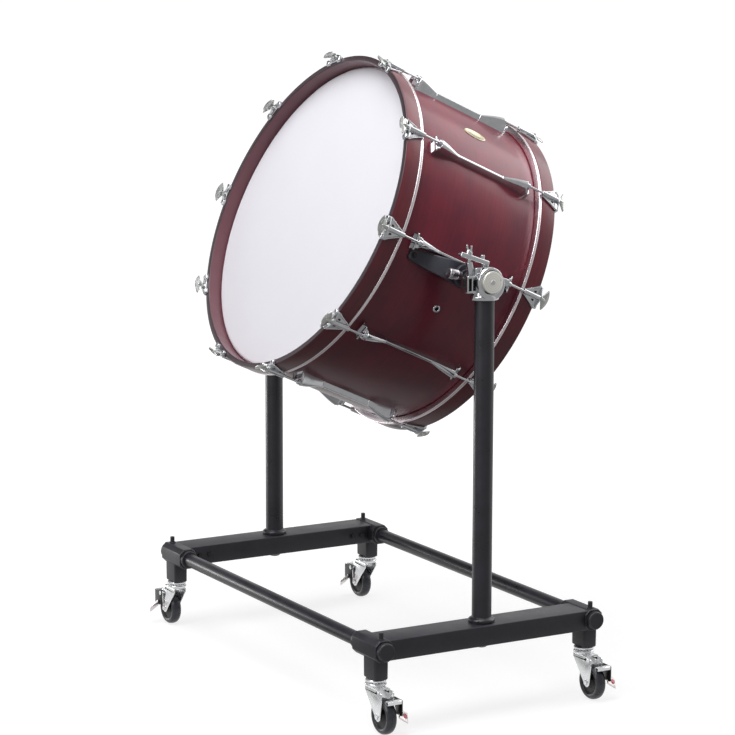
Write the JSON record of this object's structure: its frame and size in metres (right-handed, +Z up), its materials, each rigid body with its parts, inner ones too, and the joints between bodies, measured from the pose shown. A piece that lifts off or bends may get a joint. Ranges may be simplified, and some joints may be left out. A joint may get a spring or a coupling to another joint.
{
  "type": "concert bass drum with tilting stand",
  "caption": "Large two-headed bass drum with wooden claw-held hoops and long lugs, hung by side trunnions between two posts on a braked wheeled base frame, so that it tilts.",
  "frame": {"origin": "on the floor, under the middle of the drum and of the whole object's box", "axes": "+Z up; +X to the right side, along the cross tubes and the tilt axis; -Y to the front, the side the front head faces, here tipped back 24.6 degrees so that it looks upward"},
  "size_m": [1.27, 0.8318, 1.5964],
  "materials": {
    "shell_lacquer": "dark red high-gloss lacquer over plywood",
    "hoop_lacquer": "dusky red gloss lacquer over wood",
    "head_film": "smooth matte white film",
    "chrome": "polished chrome plate over a casting",
    "zinc_plate": "bright plated pressed steel",
    "black_casting": "satin black enamel over a casting",
    "black_enamel": "gloss black powder coat on steel tube",
    "caster_rubber": "dark grey moulded rubber tread and core"
  },
  "bodies": {
    "stand": {"right_post": "black_enamel", "left_post": "black_enamel", "right_base_beam": "black_enamel", "left_base_beam": "black_enamel", "front_cross_tube": "black_enamel", "rear_cross_tube": "black_enamel", "right_tilt_clamp": "chrome", "left_tilt_clamp": "chrome"},
    "drum": {"shell": "shell_lacquer", "vent_eyelet": "chrome", "front_head": "head_film", "rear_head": "head_film", "front_hoop": "hoop_lacquer", "rear_hoop": "hoop_lacquer", "lug_01": "chrome", "lug_02": "chrome", "lug_03": "chrome", "lug_04": "chrome", "lug_05": "chrome", "lug_06": "chrome", "lug_07": "chrome", "lug_08": "chrome", "lug_09": "chrome", "lug_10": "chrome", "right_side_bracket": "black_casting", "left_side_bracket": "black_casting"},
    "front_tension_rod_01": {"front_tension_rod_01": "chrome"},
    "front_tension_rod_02": {"front_tension_rod_02": "chrome"},
    "front_tension_rod_03": {"front_tension_rod_03": "chrome"},
    "front_tension_rod_04": {"front_tension_rod_04": "chrome"},
    "front_tension_rod_05": {"front_tension_rod_05": "chrome"},
    "front_tension_rod_06": {"front_tension_rod_06": "chrome"},
    "front_tension_rod_07": {"front_tension_rod_07": "chrome"},
    "front_tension_rod_08": {"front_tension_rod_08": "chrome"},
    "front_tension_rod_09": {"front_tension_rod_09": "chrome"},
    "front_tension_rod_10": {"front_tension_rod_10": "chrome"},
    "rear_tension_rod_01": {"rear_tension_rod_01": "chrome"},
    "rear_tension_rod_02": {"rear_tension_rod_02": "chrome"},
    "rear_tension_rod_03": {"rear_tension_rod_03": "chrome"},
    "rear_tension_rod_04": {"rear_tension_rod_04": "chrome"},
    "rear_tension_rod_05": {"rear_tension_rod_05": "chrome"},
    "rear_tension_rod_06": {"rear_tension_rod_06": "chrome"},
    "rear_tension_rod_07": {"rear_tension_rod_07": "chrome"},
    "rear_tension_rod_08": {"rear_tension_rod_08": "chrome"},
    "rear_tension_rod_09": {"rear_tension_rod_09": "chrome"},
    "rear_tension_rod_10": {"rear_tension_rod_10": "chrome"},
    "right_wing_nut": {"right_wing_nut": "chrome"},
    "left_wing_nut": {"left_wing_nut": "chrome"},
    "front_right_caster_fork": {"front_right_caster_fork": "zinc_plate"},
    "front_right_caster_wheel": {"front_right_caster_wheel": "caster_rubber"},
    "front_right_caster_brake": {"front_right_caster_brake": "zinc_plate"},
    "front_left_caster_fork": {"front_left_caster_fork": "zinc_plate"},
    "front_left_caster_wheel": {"front_left_caster_wheel": "caster_rubber"},
    "front_left_caster_brake": {"front_left_caster_brake": "zinc_plate"},
    "rear_right_caster_fork": {"rear_right_caster_fork": "zinc_plate"},
    "rear_right_caster_wheel": {"rear_right_caster_wheel": "caster_rubber"},
    "rear_right_caster_brake": {"rear_right_caster_brake": "zinc_plate"},
    "rear_left_caster_fork": {"rear_left_caster_fork": "zinc_plate"},
    "rear_left_caster_wheel": {"rear_left_caster_wheel": "caster_rubber"},
    "rear_left_caster_brake": {"rear_left_caster_brake": "zinc_plate"}
  },
  "joints": [
    {"name": "drum_tilt", "type": "hinge", "parent": "stand", "child": "drum", "pos_m": [0, -0.0129, 1.075], "axis": [1, 0, 0], "continuous": true},
    {"name": "front_tension_rod_01_turn", "type": "hinge", "parent": "drum", "child": "front_tension_rod_01", "pos_m": [0.4325, 0, 1.10319], "axis": [0, -0.9092, 0.4163], "continuous": true},
    {"name": "rear_tension_rod_01_turn", "type": "hinge", "parent": "drum", "child": "rear_tension_rod_01", "pos_m": [0.4325, 0, 1.10319], "axis": [0, 0.9092, -0.4163], "continuous": true},
    {"name": "front_tension_rod_02_turn", "type": "hinge", "parent": "drum", "child": "front_tension_rod_02", "pos_m": [0.3499, 0.10583, 1.33433], "axis": [0, -0.9092, 0.4163], "continuous": true},
    {"name": "rear_tension_rod_02_turn", "type": "hinge", "parent": "drum", "child": "rear_tension_rod_02", "pos_m": [0.3499, -0.10583, 0.87204], "axis": [0, 0.9092, -0.4163], "continuous": true},
    {"name": "front_tension_rod_03_turn", "type": "hinge", "parent": "drum", "child": "front_tension_rod_03", "pos_m": [0.13365, 0.17123, 1.47718], "axis": [0, -0.9092, 0.4163], "continuous": true},
    {"name": "rear_tension_rod_03_turn", "type": "hinge", "parent": "drum", "child": "rear_tension_rod_03", "pos_m": [0.13365, -0.17123, 0.72919], "axis": [0, 0.9092, -0.4163], "continuous": true},
    {"name": "front_tension_rod_04_turn", "type": "hinge", "parent": "drum", "child": "front_tension_rod_04", "pos_m": [-0.13365, 0.17123, 1.47718], "axis": [0, -0.9092, 0.4163], "continuous": true},
    {"name": "rear_tension_rod_04_turn", "type": "hinge", "parent": "drum", "child": "rear_tension_rod_04", "pos_m": [-0.13365, -0.17123, 0.72919], "axis": [0, 0.9092, -0.4163], "continuous": true},
    {"name": "front_tension_rod_05_turn", "type": "hinge", "parent": "drum", "child": "front_tension_rod_05", "pos_m": [-0.3499, 0.10583, 1.33433], "axis": [0, -0.9092, 0.4163], "continuous": true},
    {"name": "rear_tension_rod_05_turn", "type": "hinge", "parent": "drum", "child": "rear_tension_rod_05", "pos_m": [-0.3499, -0.10583, 0.87204], "axis": [0, 0.9092, -0.4163], "continuous": true},
    {"name": "front_tension_rod_06_turn", "type": "hinge", "parent": "drum", "child": "front_tension_rod_06", "pos_m": [-0.4325, 0, 1.10319], "axis": [0, -0.9092, 0.4163], "continuous": true},
    {"name": "rear_tension_rod_06_turn", "type": "hinge", "parent": "drum", "child": "rear_tension_rod_06", "pos_m": [-0.4325, 0, 1.10319], "axis": [0, 0.9092, -0.4163], "continuous": true},
    {"name": "front_tension_rod_07_turn", "type": "hinge", "parent": "drum", "child": "front_tension_rod_07", "pos_m": [-0.3499, -0.10583, 0.87204], "axis": [0, -0.9092, 0.4163], "continuous": true},
    {"name": "rear_tension_rod_07_turn", "type": "hinge", "parent": "drum", "child": "rear_tension_rod_07", "pos_m": [-0.3499, 0.10583, 1.33433], "axis": [0, 0.9092, -0.4163], "continuous": true},
    {"name": "front_tension_rod_08_turn", "type": "hinge", "parent": "drum", "child": "front_tension_rod_08", "pos_m": [-0.13365, -0.17123, 0.72919], "axis": [0, -0.9092, 0.4163], "continuous": true},
    {"name": "rear_tension_rod_08_turn", "type": "hinge", "parent": "drum", "child": "rear_tension_rod_08", "pos_m": [-0.13365, 0.17123, 1.47718], "axis": [0, 0.9092, -0.4163], "continuous": true},
    {"name": "front_tension_rod_09_turn", "type": "hinge", "parent": "drum", "child": "front_tension_rod_09", "pos_m": [0.13365, -0.17123, 0.72919], "axis": [0, -0.9092, 0.4163], "continuous": true},
    {"name": "rear_tension_rod_09_turn", "type": "hinge", "parent": "drum", "child": "rear_tension_rod_09", "pos_m": [0.13365, 0.17123, 1.47718], "axis": [0, 0.9092, -0.4163], "continuous": true},
    {"name": "front_tension_rod_10_turn", "type": "hinge", "parent": "drum", "child": "front_tension_rod_10", "pos_m": [0.3499, -0.10583, 0.87204], "axis": [0, -0.9092, 0.4163], "continuous": true},
    {"name": "rear_tension_rod_10_turn", "type": "hinge", "parent": "drum", "child": "rear_tension_rod_10", "pos_m": [0.3499, 0.10583, 1.33433], "axis": [0, 0.9092, -0.4163], "continuous": true},
    {"name": "right_wing_nut_turn", "type": "hinge", "parent": "stand", "child": "right_wing_nut", "pos_m": [0.545, -0.0579, 1.145], "axis": [0, 0, 1], "continuous": true},
    {"name": "left_wing_nut_turn", "type": "hinge", "parent": "stand", "child": "left_wing_nut", "pos_m": [-0.545, -0.0579, 1.145], "axis": [0, 0, 1], "continuous": true},
    {"name": "front_right_caster_swivel", "type": "hinge", "parent": "stand", "child": "front_right_caster_fork", "pos_m": [0.55, -0.3154, 0.12], "axis": [0, 0, 1], "continuous": true},
    {"name": "front_right_caster_roll", "type": "hinge", "parent": "front_right_caster_fork", "child": "front_right_caster_wheel", "pos_m": [0.59, -0.3154, 0.045], "axis": [0, 1, 0], "continuous": true},
    {"name": "front_right_caster_brake_press", "type": "hinge", "parent": "front_right_caster_fork", "child": "front_right_caster_brake", "pos_m": [0.6, -0.3154, 0.086], "axis": [0, 1, 0], "range_deg": [0, 12]},
    {"name": "front_left_caster_swivel", "type": "hinge", "parent": "stand", "child": "front_left_caster_fork", "pos_m": [-0.55, -0.3154, 0.12], "axis": [0, 0, 1], "continuous": true},
    {"name": "front_left_caster_roll", "type": "hinge", "parent": "front_left_caster_fork", "child": "front_left_caster_wheel", "pos_m": [-0.59, -0.3154, 0.045], "axis": [0, 1, 0], "continuous": true},
    {"name": "front_left_caster_brake_press", "type": "hinge", "parent": "front_left_caster_fork", "child": "front_left_caster_brake", "pos_m": [-0.6, -0.3154, 0.086], "axis": [0, -1, 0], "range_deg": [0, 12]},
    {"name": "rear_right_caster_swivel", "type": "hinge", "parent": "stand", "child": "rear_right_caster_fork", "pos_m": [0.55, 0.28959, 0.12], "axis": [0, 0, 1], "continuous": true},
    {"name": "rear_right_caster_roll", "type": "hinge", "parent": "rear_right_caster_fork", "child": "rear_right_caster_wheel", "pos_m": [0.59, 0.28959, 0.045], "axis": [0, 1, 0], "continuous": true},
    {"name": "rear_right_caster_brake_press", "type": "hinge", "parent": "rear_right_caster_fork", "child": "rear_right_caster_brake", "pos_m": [0.6, 0.28959, 0.086], "axis": [0, 1, 0], "range_deg": [0, 12]},
    {"name": "rear_left_caster_swivel", "type": "hinge", "parent": "stand", "child": "rear_left_caster_fork", "pos_m": [-0.55, 0.28959, 0.12], "axis": [0, 0, 1], "continuous": true},
    {"name": "rear_left_caster_roll", "type": "hinge", "parent": "rear_left_caster_fork", "child": "rear_left_caster_wheel", "pos_m": [-0.59, 0.28959, 0.045], "axis": [0, 1, 0], "continuous": true},
    {"name": "rear_left_caster_brake_press", "type": "hinge", "parent": "rear_left_caster_fork", "child": "rear_left_caster_brake", "pos_m": [-0.6, 0.28959, 0.086], "axis": [0, -1, 0], "range_deg": [0, 12]}
  ]
}
